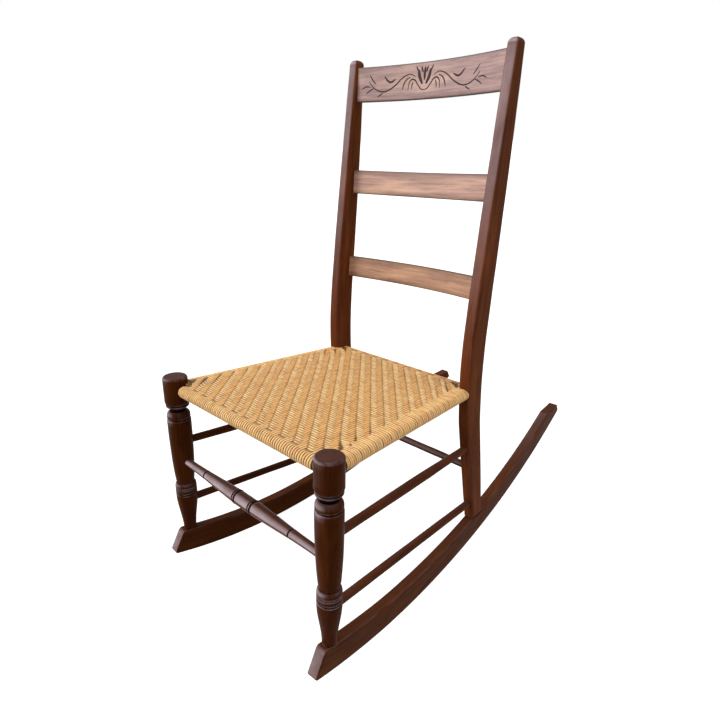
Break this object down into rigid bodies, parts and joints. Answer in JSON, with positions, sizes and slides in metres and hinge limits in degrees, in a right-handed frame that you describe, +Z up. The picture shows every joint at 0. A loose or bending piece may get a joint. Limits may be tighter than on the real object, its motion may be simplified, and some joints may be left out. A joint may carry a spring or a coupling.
{
  "type": "rocking chair",
  "caption": "Armless ladder back rocking chair with turned front posts, bent back posts, bowed slats, a woven cane seat and long curved rockers.",
  "frame": {"origin": "on the floor, under the middle of the overall footprint, with the chair leant back at rest", "axes": "+Z up; the sitter faces -Y, so the rockers' tails point to +Y; +X is the sitter's left"},
  "size_m": [0.442, 0.8798, 0.9205],
  "materials": {
    "wood": "semi-gloss varnish, reddish brown",
    "rail_wood": "bare, unfinished",
    "cane": "satin, honey-coloured split cane"
  },
  "bodies": {
    "root": {"front_post_left": "wood", "front_post_right": "wood", "back_post_left": "wood", "back_post_right": "wood", "crest_slat": "wood", "middle_slat": "wood", "lower_slat": "wood", "front_rung": "wood", "back_rung": "wood", "upper_rung_left": "wood", "upper_rung_right": "wood", "lower_rung_left": "wood", "lower_rung_right": "wood", "seat_rail_front": "rail_wood", "seat_rail_back": "rail_wood", "seat_rail_left": "rail_wood", "seat_rail_right": "rail_wood", "woven_top": "cane", "woven_underside": "cane", "rocker_left": "wood", "rocker_right": "wood"}
  },
  "joints": []
}
